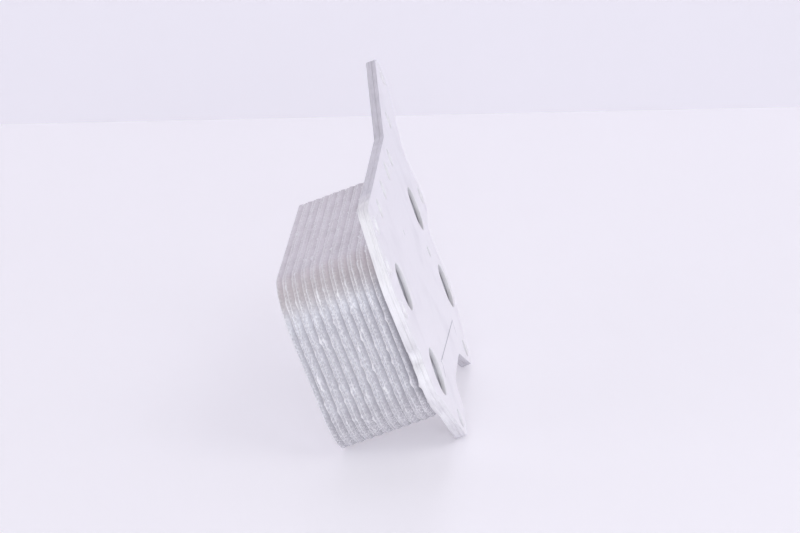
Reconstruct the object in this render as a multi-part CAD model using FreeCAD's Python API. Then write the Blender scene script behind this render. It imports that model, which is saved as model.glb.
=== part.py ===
import FreeCAD, Part
import math
import os

# Brazed stacked-plate oil cooler, in millimetres.
# +X points out of the mounting face, +Y runs along the core's long side and +Z is up along its short side.
# The origin is the centre of the four-port rectangle, on the mounting face. The core hangs on the -X side.

# Mounting plate: a thin clad sheet brazed on a thicker base plate
FACE_SHEET_T = 2.0
BASE_PLATE_T = 3.0

# Ports and the holes for fastening
PORT_HALF_Y = 69.5
PORT_HALF_Z = 21.0
PORT_R = 11.0
BASE_PORT_R = 13.0
SCREW_R = 4.3
ARM_HOLE_R = 3.5
DOWEL_R = 2.6
TACK_R = 1.3

# Screw holes, as (y, z)
SCREW_ROW_Z = 54.0
SCREW_ROW_Y = (48.0, 20.0, -16.0, -50.0, -80.0)
SCREW_LOOSE = ((-93.0, 38.0), (-96.0, 18.5), (-57.0, -49.0), (50.0, -49.0), (106.0, 18.0), (96.0, 62.0))
ARM_HOLE = (135.0, 76.0)
DOWEL_HOLE = (56.0, 1.5)
TACK_HOLES = ((32.0, 54.0), (-65.0, 54.0), (-3.5, 29.0), (-45.5, -25.0))

# Outline of the mounting plate, anticlockwise seen from +X: centre y, centre z and edge radius.
# The edge goes round the outside of a positive radius and round the inside of a negative one.
PLATE_OUTLINE = (
    (135.0, 76.0, 10.0),
    (53.5, 75.3, -12.0),
    (-82.0, 55.6, 8.4),
    (-91.0, 28.0, 13.6),
    (-89.6, -14.5, 11.6),
    (-57.0, -49.0, 8.3),
    (-38.0, -46.7, 6.5),
    (-22.5, -49.0, -8.3),
    (17.2, -53.5, -11.3),
    (50.0, -49.0, 8.3),
    (73.0, -20.5, 14.0),
    (93.7, -3.3, -9.9),
    (106.0, 18.0, 9.3),
    (117.0, 37.3, -10.5),
)
NOTCH_Y = -103.0
NOTCH_Z = -2.5
NOTCH_R = 3.7

# Core: dished plates nested in each other, with the channels between them taken in turn by oil and by coolant
DISHES = 20
SHEET_T = 0.6
OIL_PITCH = 2.9
COOLANT_PITCH = 1.5
FLANGE_H = 3.2
CORE_HALF_Y = 86.25
CORE_HALF_Z = 42.0
CORE_CENTRE_Y = -1.75
CORE_CENTRE_Z = 1.5
CORE_CORNER_R = 22.5
CORE_BASE_T = 1.8
END_COVER_T = 2.0
DISH_PORT_R = 10.5
COLLAR_R = 12.6

# Turbulator sheets: square-wave folds that run across the core
TURBULATOR_T = 0.2
OIL_FOLD = 5.0
COOLANT_FOLD = 9.0
TURBULATOR_HALF_Y = 54.0
TURBULATOR_HALF_Z = 37.5

# Worked out: the flange leans so that each flange nests in the one before it, metal to metal
MEAN_PITCH = (OIL_PITCH + COOLANT_PITCH) / 2.0
FLANGE_SLOPE = SHEET_T / MEAN_PITCH
FOOT_INSET = FLANGE_H * FLANGE_SLOPE
PLATE_T = FACE_SHEET_T + BASE_PLATE_T
OIL_PORTS = ((PORT_HALF_Y, PORT_HALF_Z), (-PORT_HALF_Y, -PORT_HALF_Z))
COOLANT_PORTS = ((PORT_HALF_Y, -PORT_HALF_Z), (-PORT_HALF_Y, PORT_HALF_Z))
ALL_PORTS = OIL_PORTS + COOLANT_PORTS


def point(x, y, z):
    return FreeCAD.Vector(x, y, z)


def belt_wire(vertices, x):
    """A closed wire of tangent lines and arcs round a ring of circles."""
    count = len(vertices)
    normals = []
    for i in range(count):
        ay, az, ar = vertices[i]
        by, bz, br = vertices[(i + 1) % count]
        span = math.hypot(by - ay, bz - az)
        heading = math.atan2(bz - az, by - ay) - math.asin((br - ar) / span)
        normals.append((-math.sin(heading), math.cos(heading)))
    edges = []
    for i in range(count):
        cy, cz, r = vertices[i]
        ny, nz = normals[i - 1]
        my, mz = normals[i]
        size = math.hypot(ny + my, nz + mz)
        start = point(x, cy - r * ny, cz - r * nz)
        middle = point(x, cy - r * (ny + my) / size, cz - r * (nz + mz) / size)
        end = point(x, cy - r * my, cz - r * mz)
        edges.append(Part.Arc(start, middle, end).toShape())
        next_y, next_z, next_r = vertices[(i + 1) % count]
        edges.append(Part.LineSegment(end, point(x, next_y - next_r * my, next_z - next_r * mz)).toShape())
    return Part.Wire(edges)


def core_wire(x, inset):
    """The core's rounded rectangle at a station, drawn in from the rim line by inset."""
    r = CORE_CORNER_R - inset
    dy = CORE_HALF_Y - CORE_CORNER_R
    dz = CORE_HALF_Z - CORE_CORNER_R
    signs = ((1, 1), (-1, 1), (-1, -1), (1, -1))
    corners = [(CORE_CENTRE_Y + sy * dy, CORE_CENTRE_Z + sz * dz, r) for sy, sz in signs]
    return belt_wire(corners, x)


def core_frustum(x_foot, inset_foot, height):
    """A solid that starts at x_foot and widens with the flange slope towards -X."""
    foot = core_wire(x_foot, inset_foot)
    rim = core_wire(x_foot - height, inset_foot - height * FLANGE_SLOPE)
    return Part.makeLoft([foot, rim], True, True)


def rod(y, z, r, x_front, length):
    """A cylinder from x_front back along -X."""
    return Part.makeCylinder(r, length, point(x_front, y, z), point(-1, 0, 0))


def drill(solid, holes, r, x_front, length):
    spare = 1.0
    for y, z in holes:
        solid = solid.cut(rod(y, z, r, x_front + spare, length + 2 * spare))
    return solid


def plate_layer(x_front, thickness, port_r):
    """One layer of the mounting plate, with every hole that goes through it."""
    blank = Part.Face(belt_wire(PLATE_OUTLINE, x_front)).extrude(point(-thickness, 0, 0))
    screws = tuple((y, SCREW_ROW_Z) for y in SCREW_ROW_Y) + SCREW_LOOSE
    blank = drill(blank, ALL_PORTS, port_r, x_front, thickness)
    blank = drill(blank, screws, SCREW_R, x_front, thickness)
    blank = drill(blank, (ARM_HOLE,), ARM_HOLE_R, x_front, thickness)
    blank = drill(blank, (DOWEL_HOLE,), DOWEL_R, x_front, thickness)
    return drill(blank, ((NOTCH_Y, NOTCH_Z),), NOTCH_R, x_front, thickness)


def face_sheet():
    """The sheet that seals on the machine, with the small holes that vent the braze joint."""
    sheet = plate_layer(0.0, FACE_SHEET_T, PORT_R)
    return drill(sheet, TACK_HOLES, TACK_R, 0.0, FACE_SHEET_T)


def base_plate():
    return plate_layer(-FACE_SHEET_T, BASE_PLATE_T, BASE_PORT_R)


def core_base_plate(x_front):
    blank = Part.Face(core_wire(x_front, 0.0)).extrude(point(-CORE_BASE_T, 0, 0))
    return drill(blank, ALL_PORTS, DISH_PORT_R, x_front, CORE_BASE_T)


def collar(y, z, x_foot, pitch):
    """A pressed collar that rises from a dish's floor to the next dish, and keeps one fluid out of the channel."""
    wall = rod(y, z, COLLAR_R, x_foot, pitch)
    hollow = rod(y, z, COLLAR_R - SHEET_T, x_foot, pitch - SHEET_T)
    return wall.cut(hollow).cut(rod(y, z, DISH_PORT_R, x_foot, pitch))


def dish(x_foot, inset, pitch, open_ports, closed_ports):
    """A pressed tray: floor, leaning flange, two plain ports and two collared ones."""
    outer = core_frustum(x_foot, inset, FLANGE_H)
    floor_inset = inset + SHEET_T - SHEET_T * FLANGE_SLOPE
    inner = core_frustum(x_foot - SHEET_T, floor_inset, FLANGE_H)
    tray = outer.cut(inner)
    tray = drill(tray, open_ports, DISH_PORT_R, x_foot, SHEET_T)
    tray = drill(tray, closed_ports, COLLAR_R - SHEET_T / 2, x_foot, SHEET_T)
    for y, z in closed_ports:
        tray = tray.fuse(collar(y, z, x_foot, pitch))
    return tray.removeSplitter()


def turbulator(x_floor, height, fold):
    """A folded sheet whose crests touch the dish above and whose troughs touch the one below."""
    half = TURBULATOR_T / 2
    folds = int(2 * TURBULATOR_HALF_Y / fold)
    start = -folds * fold / 2
    upper = [(start, TURBULATOR_T)]
    lower = [(start, 0.0)]
    for i in range(folds):
        rise = start + (i + 0.25) * fold
        fall = start + (i + 0.75) * fold
        upper += [(rise - half, TURBULATOR_T), (rise - half, height), (fall + half, height), (fall + half, TURBULATOR_T)]
        lower += [(rise + half, 0.0), (rise + half, height - TURBULATOR_T)]
        lower += [(fall - half, height - TURBULATOR_T), (fall - half, 0.0)]
    upper.append((-start, TURBULATOR_T))
    lower.append((-start, 0.0))
    section = upper + lower[::-1]
    z = CORE_CENTRE_Z - TURBULATOR_HALF_Z
    ring = [point(x_floor - h, y, z) for y, h in section]
    sheet = Part.Face(Part.makePolygon(ring + ring[:1]))
    return sheet.extrude(point(0, 0, 2 * TURBULATOR_HALF_Z))


def end_cover(x_front, inset):
    return core_frustum(x_front, inset, END_COVER_T)


def save(name, shape):
    solids = shape.Solids
    if len(solids) != 1 or not shape.isValid():
        raise SystemExit("%s has %d solids, valid %s" % (name, len(solids), shape.isValid()))
    solids[0].exportStep("parts/%s.step" % name)
    print("%-24s %10.1f mm3" % (name, solids[0].Volume))


os.makedirs("parts", exist_ok=True)

save("mounting_face_sheet", face_sheet())
save("mounting_base_plate", base_plate())
save("core_base_plate", core_base_plate(-PLATE_T))

x_foot = -PLATE_T - CORE_BASE_T
inset = FOOT_INSET
for number in range(1, DISHES + 1):
    holds_oil = number % 2 == 1
    if holds_oil:
        pitch = OIL_PITCH
        open_ports = OIL_PORTS
        closed_ports = COOLANT_PORTS
        fold = OIL_FOLD
        fluid = "oil"
    else:
        pitch = COOLANT_PITCH
        open_ports = COOLANT_PORTS
        closed_ports = OIL_PORTS
        fold = COOLANT_FOLD
        fluid = "coolant"
    save("dish_plate_%02d" % number, dish(x_foot, inset, pitch, open_ports, closed_ports))
    sheet = turbulator(x_foot - SHEET_T, pitch - SHEET_T, fold)
    save("%s_turbulator_%02d" % (fluid, (number + 1) // 2), sheet)
    x_foot = x_foot - pitch
    inset = inset + SHEET_T - pitch * FLANGE_SLOPE

save("end_cover_plate", end_cover(x_foot, inset))
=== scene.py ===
import math

import bmesh
import bpy
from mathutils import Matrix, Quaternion, Vector, noise


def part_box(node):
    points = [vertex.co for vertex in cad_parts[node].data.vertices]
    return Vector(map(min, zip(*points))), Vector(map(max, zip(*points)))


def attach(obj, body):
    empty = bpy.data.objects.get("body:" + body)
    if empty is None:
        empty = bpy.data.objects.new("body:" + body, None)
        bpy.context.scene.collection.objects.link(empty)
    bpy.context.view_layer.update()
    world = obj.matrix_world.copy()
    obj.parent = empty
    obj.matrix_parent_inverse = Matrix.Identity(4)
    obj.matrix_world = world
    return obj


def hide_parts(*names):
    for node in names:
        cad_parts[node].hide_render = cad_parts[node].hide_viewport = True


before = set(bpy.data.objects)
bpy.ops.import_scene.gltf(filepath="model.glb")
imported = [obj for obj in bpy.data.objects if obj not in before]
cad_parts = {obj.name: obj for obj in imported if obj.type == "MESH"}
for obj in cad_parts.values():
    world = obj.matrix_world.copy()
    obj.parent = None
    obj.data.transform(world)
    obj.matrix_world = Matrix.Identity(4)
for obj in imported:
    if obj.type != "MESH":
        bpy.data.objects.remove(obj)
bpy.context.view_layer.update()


# Mounting face sheet
# The clad aluminium sheet that seals on the machine: ports, screw holes and four small vent holes go through it.
# It is blanked in one stroke, so its edge is rolled over in front, burnished in the middle and torn at the back.

BODY = "root"
MM = 0.001
HOLE_STEPS = 72
FACE_ROLL = 0.42 * MM
HOLE_ROLL = 0.6 * MM
PORT_ROLL = 0.6 * MM
PORT_LEAST_R = 9 * MM
FACE_BURR = 0.16 * MM
TEAR = 0.04 * MM
TEAR_DROP = 0.15 * MM
TORN_SHARE = 0.42
FACE_PALE = (0.965, 0.96, 0.97, 1.0)
FACE_SMUDGE = (0.90, 0.895, 0.91, 1.0)
FACE_SCRIBE = (0.50, 0.50, 0.53, 1.0)
SCRIBES = (
    ((41.7, -31.4), (-47.2, -23.5)),
    ((41.7, -31.4), (38.0, -36.5)),
    ((-45.5, -25.0), (-52.0, -29.0)),
)
SCRIBE_HALF_WIDTH = 0.18
SCRIBE_SIDE_FADE = 0.35
SCRIBE_END_FADE = 2.0
# Near-white tones painted on the face sheet's hole walls and on the -Y end of the edges, as lit surfaces.
LIT_WALL_PALE = (0.97, 0.965, 0.98, 1.0)
LIT_WALL_DARK = (0.90, 0.895, 0.91, 1.0)
EDGE_PALE = (0.74, 0.73, 0.76, 1.0)
EDGE_DARK = (0.57, 0.56, 0.59, 1.0)
FACE_BUMP = 0.05 * MM
# Y range over which the edge finish passes into the painted lit band.
PAINTED_LIT_END_Y = (-55.0, -75.0)


def feed(socket, value):
    """Links a socket to another socket, or sets it to a plain value."""
    if isinstance(value, bpy.types.NodeSocket):
        socket.id_data.links.new(value, socket)
    else:
        socket.default_value = value


def add(tree, kind, feeds=None, **settings):
    """A shader node with its settings made and its inputs fed."""
    made = tree.nodes.new("ShaderNode" + kind)
    for key, value in settings.items():
        setattr(made, key, value)
    for key, value in (feeds or {}).items():
        feed(made.inputs[key], value)
    return made


def new_group(name, inputs, outputs):
    """An empty shader node group with its sockets, its input node and its output node."""
    tree = bpy.data.node_groups.new(name, "ShaderNodeTree")
    for label, kind, value in inputs:
        socket = tree.interface.new_socket(label, in_out="INPUT", socket_type="NodeSocket" + kind)
        socket.default_value = value
    for label, kind in outputs:
        tree.interface.new_socket(label, in_out="OUTPUT", socket_type="NodeSocket" + kind)
    return tree, tree.nodes.new("NodeGroupInput").outputs, tree.nodes.new("NodeGroupOutput").inputs


def rolled_grain_group():
    """Fine parallel streaks left by the rolling mill, with a slow mottle under them. Places come in millimetres."""
    tree, given, out = new_group(
        "rolled grain",
        [("Place", "Vector", (0, 0, 0)), ("Stretch", "Vector", (1, 1, 1)), ("Mottle Scale", "Float", 0.1)],
        [("Streaks", "Float"), ("Mottle", "Float"), ("Height", "Float")],
    )
    drawn = add(tree, "VectorMath", {0: given["Place"], 1: given["Stretch"]}, operation="MULTIPLY")
    streaks = add(tree, "TexNoise", {"Vector": drawn.outputs[0], "Scale": 1.0, "Detail": 5.0, "Roughness": 0.65})
    mottle = add(tree, "TexNoise", {"Vector": given["Place"], "Scale": given["Mottle Scale"], "Detail": 4.0})
    fine = add(tree, "TexNoise", {"Vector": given["Place"], "Scale": 3.2, "Detail": 2.0})
    rough = add(tree, "Math", {0: fine.outputs["Fac"], 1: 0.35, 2: streaks.outputs["Fac"]}, operation="MULTIPLY_ADD")
    feed(out["Streaks"], streaks.outputs["Fac"])
    feed(out["Mottle"], mottle.outputs["Fac"])
    feed(out["Height"], rough.outputs[0])
    return tree


def scuff_group():
    """Short thin scratches that lie every way, as handling leaves on bare aluminium."""
    tree, given, out = new_group(
        "handling scuffs",
        [("Place", "Vector", (0, 0, 0)), ("Density", "Float", 0.6)],
        [("Scuffs", "Float")],
    )
    total = None
    for angle, spread in ((0.35, 0.9), (1.25, 1.3), (2.30, 0.7)):
        turned = add(tree, "VectorRotate", {"Vector": given["Place"], "Axis": (1, 0, 0), "Angle": angle})
        stretch = (1, 0.035 * spread, 1.6 * spread)
        drawn = add(tree, "VectorMath", {0: turned.outputs[0], 1: stretch}, operation="MULTIPLY")
        line = add(tree, "TexNoise", {"Vector": drawn.outputs[0], "Scale": 1.0, "Detail": 2.0})
        thin = add(tree, "MapRange", {0: line.outputs["Fac"], 1: 0.66, 2: 0.74})
        if total is None:
            total = thin.outputs[0]
        else:
            total = add(tree, "Math", {0: total, 1: thin.outputs[0]}, operation="MAXIMUM").outputs[0]
    patch = add(tree, "TexNoise", {"Vector": given["Place"], "Scale": 0.05, "Detail": 2.0})
    here = add(tree, "Math", {0: patch.outputs["Fac"], 1: given["Density"]}, operation="LESS_THAN")
    feed(out["Scuffs"], add(tree, "Math", {0: total, 1: here.outputs[0]}, operation="MULTIPLY").outputs[0])
    return tree


def use(tree, group, feeds):
    """A group placed in a material, with its own values."""
    made = tree.nodes.new("ShaderNodeGroup")
    made.node_tree = group
    for key, value in feeds.items():
        feed(made.inputs[key], value)
    return made.outputs


def blend(tree, mask, first, second):
    """One colour passing to another by a mask."""
    mix = add(tree, "Mix", {0: mask}, data_type="RGBA")
    feed(mix.inputs[6], first)
    feed(mix.inputs[7], second)
    return mix.outputs[2]


def between(tree, value, low, high, new_low, new_high):
    """A value brought from one range to another."""
    return add(tree, "MapRange", {0: value, 1: low, 2: high, 3: new_low, 4: new_high}).outputs[0]


def metal(name):
    """An empty aluminium material: its tree, its shader and the surface's place in millimetres."""
    material = bpy.data.materials.new(name)
    material.use_nodes = True
    tree = material.node_tree
    shader = tree.nodes["Principled BSDF"]
    shader.inputs["Metallic"].default_value = 1.0
    place = add(tree, "TexCoord").outputs["Object"]
    place_mm = add(tree, "VectorMath", {0: place, "Scale": 1 / MM}, operation="SCALE").outputs[0]
    return material, tree, shader.inputs, place_mm


def bump(tree, height, strength, distance):
    """A normal from a height."""
    made = add(tree, "Bump", {"Height": height, "Strength": strength, "Distance": distance})
    return made.outputs["Normal"]


rolled_grain = rolled_grain_group()
scuffs = scuff_group()


def clad_face_material():
    """Pale satin cladding with faint handling smudges and one thin scribed line."""
    material, tree, shader, place = metal("clad face")
    grain = use(tree, rolled_grain, {"Place": place, "Stretch": (0.4, 0.03, 1.3), "Mottle Scale": 0.045})
    scratch = use(tree, scuffs, {"Place": place, "Density": 0.47})["Scuffs"]
    smudge = between(tree, grain["Mottle"], 0.46, 0.72, 0.0, 1.0)
    streaked = between(tree, grain["Streaks"], 0.35, 0.75, 0.0, 0.45)
    dull = add(tree, "Math", {0: smudge, 1: streaked}, operation="MAXIMUM").outputs[0]
    colour = blend(tree, dull, FACE_PALE, FACE_SMUDGE)
    flat = add(tree, "VectorMath", {0: place, 1: (0, 1, 1)}, operation="MULTIPLY").outputs[0]
    scribed = 0.0
    for start, end in SCRIBES:
        middle = (Vector(start) + Vector(end)) / 2
        run = Vector(end) - Vector(start)
        from_middle = add(tree, "VectorMath", {0: flat, 1: (0, *middle)}, operation="SUBTRACT").outputs[0]
        shares = []
        lengthwise = (run.normalized(), run.length / 2, SCRIBE_END_FADE)
        crosswise = (run.orthogonal().normalized(), SCRIBE_HALF_WIDTH, SCRIBE_SIDE_FADE)
        for way, reach, fade in (lengthwise, crosswise):
            along = add(tree, "VectorMath", {0: from_middle, 1: (0, *way)}, operation="DOT_PRODUCT").outputs["Value"]
            off = add(tree, "Math", {0: along}, operation="ABSOLUTE").outputs[0]
            shares.append(between(tree, off, reach, reach + fade, 1.0, 0.0))
        line = add(tree, "Math", {0: shares[0], 1: shares[1]}, operation="MULTIPLY").outputs[0]
        scribed = add(tree, "Math", {0: scribed, 1: line}, operation="MAXIMUM").outputs[0]
    feed(shader["Base Color"], blend(tree, scribed, colour, FACE_SCRIBE))
    feed(shader["Roughness"], between(tree, dull, 0.0, 1.0, 0.30, 0.46))
    sunk = add(tree, "Math", {0: scribed, 1: -0.8, 2: grain["Height"]}, operation="MULTIPLY_ADD").outputs[0]
    marked = add(tree, "Math", {0: scratch, 1: -0.3, 2: sunk}, operation="MULTIPLY_ADD").outputs[0]
    feed(shader["Normal"], bump(tree, marked, 0.35, FACE_BUMP))
    return material


def blanked_edge_material(name, pale, dark, lit_end_pale, metallic):
    """The sheared wall of a blanked sheet: fine lines across its thickness, with a painted lit band at the -Y end
    that is paler and less metallic.
    """
    material, tree, shader, place = metal(name)
    drag = use(tree, rolled_grain, {"Place": place, "Stretch": (2.6, 0.10, 0.10), "Mottle Scale": 0.12})
    worn = between(tree, drag["Streaks"], 0.35, 0.68, 0.0, 1.0)
    patchy = between(tree, drag["Mottle"], 0.38, 0.66, 0.3, 1.0)
    mask = add(tree, "Math", {0: worn, 1: patchy}, operation="MULTIPLY").outputs[0]
    along = add(tree, "SeparateXYZ", {0: place}).outputs["Y"]
    # Painted light: towards the -Y end the edge turns paler and less metallic, as the lit side of the sheet.
    near_end = between(tree, along, *PAINTED_LIT_END_Y, 0.0, 1.0)
    colour = blend(tree, near_end, blend(tree, mask, pale, dark), blend(tree, mask, lit_end_pale, pale))
    feed(shader["Base Color"], colour)
    feed(shader["Metallic"], between(tree, near_end, 0.0, 1.0, metallic, 0.1))
    feed(shader["Roughness"], between(tree, mask, 0.0, 1.0, 0.42, 0.58))
    feed(shader["Normal"], bump(tree, drag["Height"], 0.3, FACE_BUMP))
    return material


clad_face = clad_face_material()
blanked_edge = blanked_edge_material("blanked edge", EDGE_PALE, EDGE_DARK, LIT_WALL_PALE, 0.8)
# Painted light: the face sheet's hole walls get a near-white, nearly non-metal copy of the edge finish, so that they
# show as lit.
punched_wall = blanked_edge_material("punched wall", LIT_WALL_PALE, LIT_WALL_DARK, LIT_WALL_PALE, 0.1)


def cap_loops(node):
    """The border loops of a CAD node's front face as (y, z) points, with the metal always on the left."""
    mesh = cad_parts[node].data
    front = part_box(node)[1].x
    steps = set()
    for face in mesh.polygons:
        corners = [mesh.vertices[v].co for v in face.vertices]
        if all(abs(c.x - front) < 0.001 * MM for c in corners):
            keys = [(round(c.y, 7), round(c.z, 7)) for c in corners]
            steps.update(zip(keys, keys[1:] + keys[:1]))
    after = {a: b for a, b in steps if (b, a) not in steps}
    loops = []
    while after:
        start = min(after)
        loop = [start]
        while after[loop[-1]] != start:
            loop.append(after.pop(loop[-1]))
        after.pop(loop[-1])
        loops.append([Vector(p) for p in loop])
    return sorted(loops, key=lambda loop: -max(p.x for p in loop) + min(p.x for p in loop))


def as_circle(loop):
    """The centre and radius of a loop, with a radius of None where it isn't a circle."""
    centre = sum(loop, Vector((0, 0))) / len(loop)
    reach = [(p - centre).length for p in loop]
    is_round = max(reach) - min(reach) < 0.02 * MM
    return centre, max(reach) if is_round else None


def inset_rings(loop):
    """A function that gives the loop drawn into the metal by a distance. Round holes get more points."""
    centre, radius = as_circle(loop)
    if radius is not None:
        turns = [2 * math.pi * k / HOLE_STEPS for k in range(HOLE_STEPS)]
        spokes = [Vector((math.cos(t), -math.sin(t))) for t in turns]
        return lambda depth: [centre + (radius + depth) * spoke for spoke in spokes]
    pushes = []
    for before, here, after in zip(loop[-1:] + loop[:-1], loop, loop[1:] + loop[:1]):
        first = (here - before).normalized()
        second = (after - here).normalized()
        lean = Vector((-first.y - second.y, first.x + second.x))
        pushes.append(lean * 2 / lean.length_squared)
    return lambda depth: [p + push * depth for p, push in zip(loop, pushes)]


def bridge(bm, first, second):
    """A band of four-sided faces between two closed rings."""
    count = len(first)
    corners = [(first[i], first[(i + 1) % count], second[(i + 1) % count], second[i]) for i in range(count)]
    return [bm.faces.new(four) for four in corners]


def close_flat(bm, rings):
    """Fills the flat space between an outer ring and the rings of its holes, with a crease at its border."""
    edges = [bm.edges.get((ring[i - 1], ring[i])) for ring in rings for i in range(len(ring))]
    bmesh.ops.triangle_fill(bm, use_beauty=True, edges=edges, normal=(1, 0, 0))
    for edge in edges:
        edge.smooth = False


def add_piece(name, bm, slot, *materials):
    """A finished mesh as a piece that rides with the cooler."""
    for face in bm.faces:
        face.smooth = True
    bmesh.ops.recalc_face_normals(bm, faces=bm.faces)
    mesh = bpy.data.meshes.new(name)
    bm.to_mesh(mesh)
    bm.free()
    for material in materials:
        mesh.materials.append(material)
    piece = bpy.data.objects.new(name, mesh)
    bpy.context.scene.collection.objects.link(piece)
    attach(piece, BODY)
    return piece


def blanked_profile(front, back, roll, burr):
    """The edge of a blanked sheet as (depth into the metal, x): rolled over in front, a torn step, a small burr."""
    turn = [math.radians(a) for a in (90, 72, 54, 36, 18, 0)]
    rolled = [(roll * (1 - math.cos(a)), front - roll * (1 - math.sin(a))) for a in turn]
    shear = back + min(front - roll - back, TORN_SHARE * (front - back)) * 0.8
    return rolled + [(0.0, shear), (TEAR, shear - TEAR_DROP), (TEAR, back + burr), (TEAR + burr, back)]


def blanked_sheet(name, node, slot, roll, hole_roll, port_roll, burr, faces, walls, hole_walls):
    """A flat sheet with the outline and holes of its CAD node. Holes may be rolled in further than the outline."""
    low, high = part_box(node)
    bm = bmesh.new()
    fronts = []
    backs = []
    for loop in cap_loops(node):
        ring_at = inset_rings(loop)
        centre, radius = as_circle(loop)
        if radius is None:
            turn_in = roll
        elif radius > PORT_LEAST_R:
            turn_in = port_roll
        else:
            turn_in = min(hole_roll, radius / 3)
        profile = blanked_profile(high.x, low.x, turn_in, burr)
        rings = [[bm.verts.new((x, p.x, p.y)) for p in ring_at(depth)] for depth, x in profile]
        for first, second in zip(rings, rings[1:]):
            for face in bridge(bm, first, second):
                face.material_index = 1 if radius is None else 2
        for ring in rings[-4:-1]:
            for i in range(len(ring)):
                bm.edges.get((ring[i - 1], ring[i])).smooth = False
        fronts.append(rings[0])
        backs.append(rings[-1])
    close_flat(bm, fronts)
    close_flat(bm, backs)
    piece = add_piece(name, bm, slot, faces, walls, hole_walls)
    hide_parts(node)
    return piece


blanked_sheet("face_sheet", "mounting_face_sheet", "face_sheet", FACE_ROLL, HOLE_ROLL, PORT_ROLL, FACE_BURR,
              clad_face, blanked_edge, punched_wall)


# Mounting base plate
# The thicker blanked aluminium plate that carries the face sheet. Its ports are wider than those of the face sheet.
# The two are brazed face to face, and the joint shows round the edge as a fine groove.

BASE_ROLL = 0.38 * MM
BASE_BURR = 0.16 * MM
BASE_PALE = (0.80, 0.79, 0.82, 1.0)
BASE_DULL = (0.68, 0.67, 0.70, 1.0)


def brazed_flat_material(name, pale, dull):
    """Flat sheet after the furnace: satin, with slow clouds where flux and filler have run."""
    material, tree, shader, place = metal(name)
    grain = use(tree, rolled_grain, {"Place": place, "Stretch": (0.4, 0.05, 1.1), "Mottle Scale": 0.06})
    scratch = use(tree, scuffs, {"Place": place, "Density": 0.5})["Scuffs"]
    cloud = between(tree, grain["Mottle"], 0.40, 0.66, 0.0, 1.0)
    feed(shader["Base Color"], blend(tree, cloud, pale, dull))
    feed(shader["Roughness"], between(tree, grain["Mottle"], 0.35, 0.7, 0.34, 0.52))
    marked = add(tree, "Math", {0: scratch, 1: -0.4, 2: grain["Height"]}, operation="MULTIPLY_ADD").outputs[0]
    feed(shader["Normal"], bump(tree, marked, 0.4, FACE_BUMP))
    return material


brazed_flat = brazed_flat_material("brazed flat sheet", BASE_PALE, BASE_DULL)
blanked_sheet("base_plate", "mounting_base_plate", "base_plate", BASE_ROLL, BASE_ROLL, BASE_ROLL, BASE_BURR,
              brazed_flat, blanked_edge, blanked_edge)


# Core base plate
# The flat plate under the stack, as large as the core. It closes the first channel and is brazed on the base plate.

CORE_ROLL = 0.25 * MM
CORE_BURR = 0.12 * MM

blanked_sheet("core_base", "core_base_plate", "base_plate", CORE_ROLL, CORE_ROLL, CORE_ROLL, CORE_BURR,
              brazed_flat, blanked_edge, blanked_edge)


# Dished plates
# Twenty trays pressed from thin clad sheet and nested in each other. Each leaning flange is brazed in the one before.
# Two ports of a tray are plain and two have a collar that reaches the next tray, in turn for oil and for coolant.

SHEET = 0.6 * MM
MEAN_PITCH = 2.2 * MM
FLANGE = 3.2 * MM
LEAN = SHEET / MEAN_PITCH
CORNER_R = 22.5 * MM
CORNER_STEPS = 22
RUN_STEP = 1.6 * MM
PORT_R = 10.5 * MM
COLLAR_R = 12.6 * MM
FLOOR_MARGIN = 2.4 * MM
PRESS_R = 0.8 * MM
PORT_LIP = 0.12 * MM
COLLAR_BEND = 0.25 * MM
RIM_R = 0.27 * MM
RIM_WAVE = 0.09 * MM
FLANK_WAVE = 0.03 * MM
# Reach of the painted rim highlight from the bend of each rim.
RIM_HIGHLIGHT_REACH = 0.42 * MM
TRAYS = 20
SHEET_PALE = (0.75, 0.715, 0.74, 1.0)
SHEET_DARK = (0.56, 0.525, 0.55, 1.0)
# Much darker tones, painted as the shade on the lower -Y end of the core.
SHADED_END_PALE = (0.45, 0.445, 0.48, 1.0)
SHADED_END_DARK = (0.38, 0.375, 0.41, 1.0)
# Near white of the painted rim highlight and of the painted glints.
HIGHLIGHT_PALE = (0.98, 0.98, 0.99, 1.0)
HEAT_TINT = (0.66, 0.57, 0.54, 1.0)
DARK_END_Y = (-63.0, -72.0)
SHADED_END_Z = (39.0, 27.0)
HEATED_Z = (31.0, 39.0)
# Heights over which the painted glints fade in low on the core.
GLINTS_Z = (-20.0, -32.0)


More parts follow.
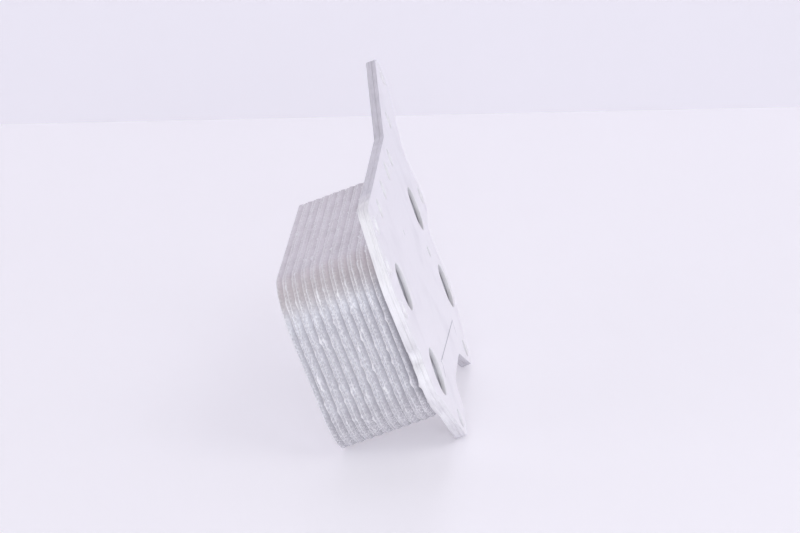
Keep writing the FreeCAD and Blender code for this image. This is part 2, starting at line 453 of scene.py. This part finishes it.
def pressed_sheet_material():
    """Dull clad sheet: fine lines along the rims, a painted highlight on the rims, painted glints low on the core,
    lumpy flecks of filler in the bump, painted shade on the lower -Y end and a heat tint at the top of that end.
    """
    material, tree, shader, place = metal("pressed sheet")
    grain = use(tree, rolled_grain, {"Place": place, "Stretch": (2.6, 0.02, 0.02), "Mottle Scale": 0.10})
    fleck = add(tree, "TexNoise", {"Vector": place, "Scale": 0.9, "Detail": 3.0, "Roughness": 0.7}).outputs["Fac"]
    streaked = between(tree, grain["Streaks"], 0.34, 0.66, 0.0, 1.0)
    clouded = between(tree, grain["Mottle"], 0.35, 0.68, 0.0, 0.35)
    speckle = add(tree, "TexNoise", {"Vector": place, "Scale": 1.4, "Detail": 3.0, "Roughness": 0.75}).outputs["Fac"]
    spotted = between(tree, speckle, 0.36, 0.64, -0.03, 0.12)
    clouded = add(tree, "Math", {0: clouded, 1: spotted}, operation="ADD").outputs[0]
    dark = add(tree, "Math", {0: streaked, 1: 0.5, 2: clouded}, operation="MULTIPLY_ADD", use_clamp=True).outputs[0]
    parts = add(tree, "SeparateXYZ", {0: place})
    near_end = between(tree, parts.outputs["Y"], *DARK_END_Y, 0.0, 1.0)
    colour = blend(tree, dark, SHEET_PALE, SHEET_DARK)
    # Painted shade: the lower part of the -Y end takes the much darker end tones.
    below = between(tree, parts.outputs["Z"], *SHADED_END_Z, 0.0, 1.0)
    painted_shade_end = add(tree, "Math", {0: near_end, 1: below}, operation="MULTIPLY").outputs[0]
    colour = blend(tree, painted_shade_end, colour, blend(tree, dark, SHADED_END_PALE, SHADED_END_DARK))
    # Painted glints: near-white spots picked from the speckle, low on the core, stand in for sparkle.
    low_corner = between(tree, parts.outputs["Z"], *GLINTS_Z, 0.0, 1.0)
    glint_spots = between(tree, speckle, 0.50, 0.60, 0.15, 0.9)
    painted_glints = add(tree, "Math", {0: low_corner, 1: glint_spots}, operation="MULTIPLY").outputs[0]
    colour = blend(tree, painted_glints, colour, HIGHLIGHT_PALE)
    high = between(tree, parts.outputs["Z"], *HEATED_Z, 0.0, 1.0)
    shoulder = add(tree, "Math", {0: near_end, 1: high}, operation="MULTIPLY").outputs[0]
    uneven = between(tree, fleck, 0.3, 0.7, 0.10, 0.45)
    tinted = add(tree, "Math", {0: shoulder, 1: uneven}, operation="MULTIPLY").outputs[0]
    colour = blend(tree, tinted, colour, HEAT_TINT)
    # Painted highlight: the rim weight, broken up by noise, paints the rims near white and less metallic, as lines of
    # caught light.
    rim = add(tree, "Attribute", attribute_name="rim").outputs["Fac"]
    highlight_breaks = between(tree, fleck, 0.42, 0.60, 0.35, 1.0)
    painted_rim_highlight = add(tree, "Math", {0: rim, 1: highlight_breaks}, operation="MULTIPLY").outputs[0]
    feed(shader["Base Color"], blend(tree, painted_rim_highlight, colour, HIGHLIGHT_PALE))
    feed(shader["Metallic"], between(tree, painted_rim_highlight, 0.0, 1.0, 1.0, 0.1))
    dull = between(tree, dark, 0.0, 1.0, 0.46, 0.62)
    feed(shader["Roughness"], add(tree, "Math", {0: painted_rim_highlight, 1: -0.18, 2: dull}, operation="MULTIPLY_ADD").outputs[0])
    lumps = add(tree, "Math", {0: fleck, 1: 0.6, 2: grain["Height"]}, operation="MULTIPLY_ADD").outputs[0]
    feed(shader["Normal"], bump(tree, lumps, 0.3, 0.06 * MM))
    return material


pressed_sheet = pressed_sheet_material()


def rounded(points, radii, steps=3):
    """A run of (inset, x) points with its inner points rounded to their radii."""
    out = [points[0]]
    for before, here, after, radius in zip(points, points[1:], points[2:], radii):
        back = (before - here).normalized()
        ahead = (after - here).normalized()
        half = back.angle(ahead) / 2
        centre = here + (back + ahead).normalized() * radius / math.sin(half)
        start = here + back * radius / math.tan(half) - centre
        end = here + ahead * radius / math.tan(half) - centre
        sweep = start.angle_signed(end)
        for k in range(steps + 1):
            turn = -sweep * k / steps
            c, s = math.cos(turn), math.sin(turn)
            out.append(centre + Vector((start.x * c - start.y * s, start.x * s + start.y * c)))
    out.append(points[-1])
    return out


def core_ring(half, middle, inset):
    """The core's rounded rectangle drawn in by inset, with the same number of points at any inset."""
    r = CORNER_R - inset
    corners = []
    for sy, sz, start in ((1, -1, -90), (1, 1, 0), (-1, 1, 90), (-1, -1, 180)):
        centre = middle + Vector((sy * (half.x - CORNER_R), sz * (half.y - CORNER_R)))
        turns = [math.radians(start + 90 * k / CORNER_STEPS) for k in range(CORNER_STEPS + 1)]
        corners.append([centre + r * Vector((math.cos(t), math.sin(t))) for t in turns])
    ring = []
    for i, corner in enumerate(corners):
        following = corners[(i + 1) % 4][0]
        length = 2 * ((half.x if i % 2 else half.y) - CORNER_R)
        runs = round(length / RUN_STEP)
        ring += corner + [corner[-1].lerp(following, k / runs) for k in range(1, runs)]
    return ring


def wander(seed, point, scale):
    """A slow random offset from -1 to 1 at a point of the rim, different for each sheet."""
    return noise.noise(Vector((seed * 3.7, point.x / MM * scale, point.y / MM * scale)))


def hole_rings(bm, centre, profile, x_foot):
    """Closed rings round a port, from (radius, x) pairs, joined into a wall. Gives the first ring and the last."""
    turns = [2 * math.pi * k / HOLE_STEPS for k in range(HOLE_STEPS)]
    rings = []
    for radius, x in profile:
        spots = [centre + radius * Vector((math.cos(t), math.sin(t))) for t in turns]
        rings.append([bm.verts.new((x_foot + x, p.x, p.y)) for p in spots])
    for first, second in zip(rings, rings[1:]):
        bridge(bm, first, second)
    return rings[0], rings[-1]


def tray(name, node, number, pitch, plain, collared):
    """One dished plate, from its CAD node's box."""
    low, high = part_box(node)
    half = (high - low).yz / 2
    middle = (high + low).yz / 2
    foot = FLANGE * LEAN
    section = rounded(
        [Vector((foot + FLOOR_MARGIN, 0)), Vector((foot, 0)), Vector((0, -FLANGE)), Vector((SHEET, -FLANGE)),
         Vector((foot + SHEET - SHEET * LEAN, -SHEET)), Vector((foot + FLOOR_MARGIN, -SHEET))],
        [PRESS_R, RIM_R, RIM_R, PRESS_R / 2],
    )
    bm = bmesh.new()
    rim_highlight_layer = bm.verts.layers.float.new("rim")
    line = core_ring(half, middle, 0.0)
    rings = []
    for spot in section:
        depth = min(1.0, max(0.0, (-spot.y - SHEET) / (FLANGE - SHEET)))
        # Painted highlight: a weight near each rim's bend, which the material paints near white as the light the rims
        # catch.
        rim_highlight = math.exp(-((spot - Vector((0, -FLANGE))).length / RIM_HIGHLIGHT_REACH) ** 2)
        ring = []
        for place, base in zip(core_ring(half, middle, spot.x), line):
            outward = (base - place).normalized() if spot.x > 0 else Vector((0, 0))
            push = depth * FLANK_WAVE * wander(number, base, 0.06)
            rise = depth * RIM_WAVE * wander(number + 0.5, base, 0.09)
            moved = place + outward * push
            vert = bm.verts.new((high.x + spot.y + rise, moved.x, moved.y))
            vert[rim_highlight_layer] = rim_highlight
            ring.append(vert)
        rings.append(ring)
    for first, second in zip(rings, rings[1:]):
        bridge(bm, first, second)
    outer = [rings[0]]
    inner = [rings[-1]]
    lip = PORT_LIP
    for centre in plain:
        profile = [(PORT_R + lip, 0), (PORT_R, -lip), (PORT_R, lip - SHEET), (PORT_R + lip, -SHEET)]
        first, last = hole_rings(bm, centre, profile, high.x)
        outer.append(first)
        inner.append(last)
    bend = COLLAR_BEND
    within = COLLAR_R - SHEET
    for centre in collared:
        profile = [(within + bend, 0), (within, -bend), (within, SHEET - pitch), (PORT_R + lip, SHEET - pitch),
                   (PORT_R, SHEET - pitch - lip), (PORT_R, lip - pitch), (PORT_R + lip, -pitch),
                   (COLLAR_R - bend, -pitch), (COLLAR_R, bend - pitch), (COLLAR_R, -SHEET - bend / 2),
                   (COLLAR_R + bend / 2, -SHEET)]
        first, last = hole_rings(bm, centre, profile, high.x)
        outer.append(first)
        inner.append(last)
    close_flat(bm, outer)
    close_flat(bm, inner)
    piece = add_piece(name, bm, "dish_sheet", pressed_sheet)
    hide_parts(node)
    return half, middle, high.x


holes = [as_circle(loop) for loop in cap_loops("core_base_plate")[1:]]
ports = sorted((centre for centre, radius in holes), key=lambda c: (c.x * c.y < 0, c.x))
oil_ports = ports[:2]
coolant_ports = ports[2:]
tray_feet = [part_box("dish_plate_%02d" % n)[1].x for n in range(1, TRAYS + 1)]
tray_feet.append(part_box("end_cover_plate")[1].x)
rims = []
for number in range(1, TRAYS + 1):
    pitch = tray_feet[number - 1] - tray_feet[number]
    plain, collared = (oil_ports, coolant_ports) if number % 2 else (coolant_ports, oil_ports)
    rims.append(tray("dish_%02d" % number, "dish_plate_%02d" % number, number, pitch, plain, collared))


# Braze beads
# Filler metal that melts off the clad sheets in the furnace and freezes in every crease between two trays.
# It is the palest metal on the cooler, thin and even in most places, with lumps where it has run together.

BEAD_LEG = 0.32 * MM
BEAD_SPREAD = 0.12 * MM
BEAD_LUMP = 0.80 * MM
BEAD_MIN = 0.17 * MM
BEAD_ROOT = 0.22 * MM
PLATE_BEAD_LIMIT = 1.2 * MM
BEAD_PALE = (0.98, 0.98, 0.99, 1.0)
BEAD_DULL = (0.80, 0.79, 0.82, 1.0)


def braze_material():
    """Frozen filler: bright, lumpy and a little uneven in gloss."""
    material, tree, shader, place = metal("braze filler")
    lumps = add(tree, "TexNoise", {"Vector": place, "Scale": 1.1, "Detail": 4.0, "Roughness": 0.6}).outputs["Fac"]
    fine = add(tree, "TexNoise", {"Vector": place, "Scale": 5.0, "Detail": 2.0}).outputs["Fac"]
    dull = between(tree, lumps, 0.42, 0.62, 0.0, 1.0)
    feed(shader["Base Color"], blend(tree, dull, BEAD_PALE, BEAD_DULL))
    feed(shader["Metallic"], between(tree, dull, 0.0, 1.0, 0.1, 0.6))
    feed(shader["Roughness"], between(tree, dull, 0.0, 1.0, 0.25, 0.45))
    height = add(tree, "Math", {0: fine, 1: 0.4, 2: lumps}, operation="MULTIPLY_ADD").outputs[0]
    feed(shader["Normal"], bump(tree, height, 0.6, 0.12 * MM))
    return material


braze = braze_material()


def bead(name, seed, half, middle, crease, first_leg, second_leg, limit, reach=2 * MM):
    """A fillet of filler in a crease round the core. The legs are directions in (inset, x), kept within limits."""
    bm = bmesh.new()
    base_ring = core_ring(half, middle, 0.0)
    deep_ring = core_ring(half, middle, MM)
    root = -(first_leg + second_leg).normalized() * BEAD_ROOT
    bands = [[] for _ in range(6)]
    for base, deep in zip(base_ring, deep_ring):
        inward = (deep - base) / MM
        swell = max(0.0, wander(seed + 0.2, base, 0.31) - 0.28) * 2.2
        size = max(BEAD_MIN, BEAD_LEG + BEAD_SPREAD * wander(seed, base, 0.45) + BEAD_LUMP * swell)
        along = min(reach, size * (1.0 + 0.3 * wander(seed + 0.7, base, 0.8)))
        up = min(size, limit)
        tip = crease + first_leg * up
        toe = crease + second_leg * along
        belly = crease + (first_leg * up + second_leg * along) * (0.46 + 0.10 * min(1.0, swell))
        spots = [tip + root * 0.4, tip, (tip + belly) / 2 + root * 0.12, belly, toe, crease + root]
        for band, spot in zip(bands, spots):
            place = base + inward * spot.x
            band.append(bm.verts.new((spot.y, place.x, place.y)))
    for first, second in zip(bands, bands[1:] + bands[:1]):
        bridge(bm, first, second)
    for ring in (bands[1], bands[4]):
        for i in range(len(ring)):
            bm.edges.get((ring[i - 1], ring[i])).smooth = False
    return add_piece(name, bm, "dish_sheet", braze)


outward = Vector((-1, 0))
down_flange = Vector((-LEAN, -1)).normalized()
down_edge = Vector((0, -1))
plate_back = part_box("mounting_base_plate")[0].x
base_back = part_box("core_base_plate")[0].x
for number, (half, middle, x_foot) in enumerate(rims, start=1):
    crease = Vector((SHEET, x_foot - FLANGE))
    if number < TRAYS:
        bead("braze_bead_%02d" % number, number * 1.3, half, middle, crease, outward, down_flange, SHEET * 0.9)
half, middle, x_foot = rims[0]
bead("braze_bead_foot", 51.0, half, middle, Vector((FLANGE * LEAN, base_back)), outward, down_flange, SHEET)
bead("braze_bead_plate", 63.0, half, middle, Vector((0.0, plate_back)), outward, down_edge, PLATE_BEAD_LIMIT)


# End cover plate
# A plain thick plate brazed in the mouth of the last tray. It closes the stack and takes the pressure in it.

COVER_ROLL = 0.35 * MM
COVER_BURR = 0.15 * MM
COVER_BEAD_REACH = 0.22 * MM


def end_cover():
    """The cover, from its CAD node's box, with its edge leaning like the flanges."""
    low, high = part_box("end_cover_plate")
    half = (high - low).yz / 2
    middle = (high + low).yz / 2
    thick = high.x - low.x
    foot = thick * LEAN
    section = rounded(
        [Vector((foot + FLOOR_MARGIN, 0)), Vector((foot, 0)), Vector((0, -thick)), Vector((FLOOR_MARGIN, -thick))],
        [COVER_ROLL, COVER_BURR],
    )
    bm = bmesh.new()
    rings = [[bm.verts.new((high.x + s.y, p.x, p.y)) for p in core_ring(half, middle, s.x)] for s in section]
    for first, second in zip(rings, rings[1:]):
        bridge(bm, first, second)
    close_flat(bm, [rings[0]])
    close_flat(bm, [rings[-1]])
    piece = add_piece("end_cover", bm, "end_cover", brazed_flat)
    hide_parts("end_cover_plate")


end_cover()
last_half, last_middle, last_foot = rims[-1]
crease = Vector((SHEET, last_foot - FLANGE))
bead("braze_bead_cover", 77.0, last_half, last_middle, crease, outward, down_flange, SHEET * 0.5, COVER_BEAD_REACH)


# Turbulators
# Thin folded sheets between the trays, finer in the oil channels. They stir the fluid and tie the trays together.
# Their CAD shapes stay as they are, with the finish of bright foil that has been through the furnace.

FIN_PALE = (0.72, 0.71, 0.74, 1.0)
FIN_DULL = (0.52, 0.51, 0.54, 1.0)

fin_sheet = brazed_flat_material("folded fin sheet", FIN_PALE, FIN_DULL)
for node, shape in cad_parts.items():
    if "turbulator" in node:
        shape.data.materials.clear()
        shape.data.materials.append(fin_sheet)


# Table and wall
# A glossy pale table and a plain wall. The cooler lies back on the far edge of its core and on its two lower lobes.

TABLE_REACH = 3.0
WALL_Y = 0.618
TABLE_TONE = (0.86, 0.845, 0.89, 1.0)
WALL_TONE = (0.78, 0.765, 0.825, 1.0)
SKY_TONE = (0.82, 0.80, 0.88, 1.0)
TABLE_GLOW = 0.25
WALL_GLOW = 0.22
TABLE_ROUGH = 0.30
WALL_ROUGH = 0.8


def one_sided(name, tone, rough, own_light):
    """A pale surface that only shows from its front, so that it never hides the cooler from behind it."""
    material = bpy.data.materials.new(name)
    material.use_nodes = True
    tree = material.node_tree
    shader = tree.nodes["Principled BSDF"]
    place = add(tree, "TexCoord").outputs["Object"]
    cloud = add(tree, "TexNoise", {"Vector": place, "Scale": 2.0, "Detail": 1.0}).outputs["Fac"]
    dimmer = [c * 0.985 for c in tone[:3]] + [1.0]
    feed(shader.inputs["Base Color"], blend(tree, cloud, tone, dimmer))
    shader.inputs["Roughness"].default_value = rough
    shader.inputs["Emission Color"].default_value = tone
    shader.inputs["Emission Strength"].default_value = own_light
    away = add(tree, "NewGeometry").outputs["Backfacing"]
    clear = add(tree, "BsdfTransparent")
    mix = add(tree, "MixShader", {0: away, 1: shader.outputs[0], 2: clear.outputs[0]})
    feed(tree.nodes["Material Output"].inputs["Surface"], mix.outputs[0])
    return material


def flat_stage(name, centre, across, along, reach, material):
    """A square of stage facing across x along."""
    bm = bmesh.new()
    spots = [centre + across * a * reach + along * b * reach for a, b in ((-1, -1), (1, -1), (1, 1), (-1, 1))]
    bm.faces.new([bm.verts.new(p) for p in spots])
    mesh = bpy.data.meshes.new(name)
    bm.to_mesh(mesh)
    bm.free()
    mesh.materials.append(material)
    stage = bpy.data.objects.new(name, mesh)
    bpy.context.scene.collection.objects.link(stage)


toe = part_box("mounting_base_plate")[0]
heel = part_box("end_cover_plate")[0]
heel_z = min(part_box("dish_plate_%02d" % n)[0].z for n in range(1, TRAYS + 1))
slide = Vector((toe.x - heel.x, 0, toe.z - heel_z)).normalized()
table_up = Vector((-slide.z, 0, slide.x))
level = Vector((0, 1, 0))
table_top = one_sided("table top", TABLE_TONE, TABLE_ROUGH, TABLE_GLOW)
wall_paint = one_sided("wall", WALL_TONE, WALL_ROUGH, WALL_GLOW)
flat_stage("table", Vector((toe.x, 0, toe.z)), slide, level, TABLE_REACH, table_top)
flat_stage("wall", Vector((0, WALL_Y, 0)), slide, table_up, TABLE_REACH, wall_paint)


# Lamps, air and camera
# Three soft boxes: one on the side of the mounting face, a large one on the core's side and a cool one in front.
# The room round them is pale near the table and darker overhead.

BOX_LAMPS = (
    ("side box", Vector((1.10, -0.55, 0.75)), 0.9, 3.7, (1.0, 0.99, 1.0)),
    ("left box", Vector((-1.15, -0.85, 0.65)), 1.4, 5.7, (1.0, 0.98, 1.0)),
    ("front box", Vector((0.28, -1.30, 0.30)), 0.6, 4.1, (0.88, 0.93, 1.0)),
)
ROOM_LOW = (0.74, 0.735, 0.77, 1.0)
ROOM_HIGH = (0.30, 0.285, 0.305, 1.0)
ROOM_IN_METAL = (0.58, 0.56, 0.60, 1.0)
CAMERA_AT = Vector((0.17150, -1.28441, 0.33030))
CAMERA_AIM = Vector((-0.00348, -0.03379, 0.02153))
CAMERA_ROLL = -21.60
CAMERA_LENS = 128.26

for name, spot, size, power, tone in BOX_LAMPS:
    lamp = bpy.data.lights.new(name, "AREA")
    lamp.size = size
    lamp.energy = power
    lamp.color = tone
    holder = bpy.data.objects.new(name, lamp)
    holder.location = spot
    holder.rotation_mode = "QUATERNION"
    holder.rotation_quaternion = (-spot).to_track_quat("-Z", "Y")
    bpy.context.scene.collection.objects.link(holder)

room = bpy.data.worlds.new("room")
room.use_nodes = True
bpy.context.scene.world = room
air = room.node_tree
heading = add(air, "TexCoord").outputs["Generated"]
height = add(air, "VectorMath", {0: heading, 1: table_up}, operation="DOT_PRODUCT").outputs["Value"]
lit = blend(air, between(air, height, 0.05, 0.55, 0.0, 1.0), ROOM_LOW, ROOM_HIGH)
rays = add(air, "LightPath").outputs
mirrored = blend(air, rays["Is Glossy Ray"], lit, ROOM_IN_METAL)
feed(air.nodes["Background"].inputs["Color"], blend(air, rays["Is Camera Ray"], mirrored, SKY_TONE))

camera = bpy.data.objects.new("camera", bpy.data.cameras.new("camera"))
camera.data.lens = CAMERA_LENS
camera.data.sensor_width = 36.0
camera.data.clip_start = 0.05
camera.data.clip_end = 20.0
camera.location = CAMERA_AT
camera.rotation_mode = "QUATERNION"
aimed = (CAMERA_AIM - CAMERA_AT).to_track_quat("-Z", "Y")
camera.rotation_quaternion = aimed @ Quaternion((0, 0, 1), math.radians(CAMERA_ROLL))
bpy.context.scene.collection.objects.link(camera)
bpy.context.scene.camera = camera
bpy.context.scene.view_settings.view_transform = "Standard"
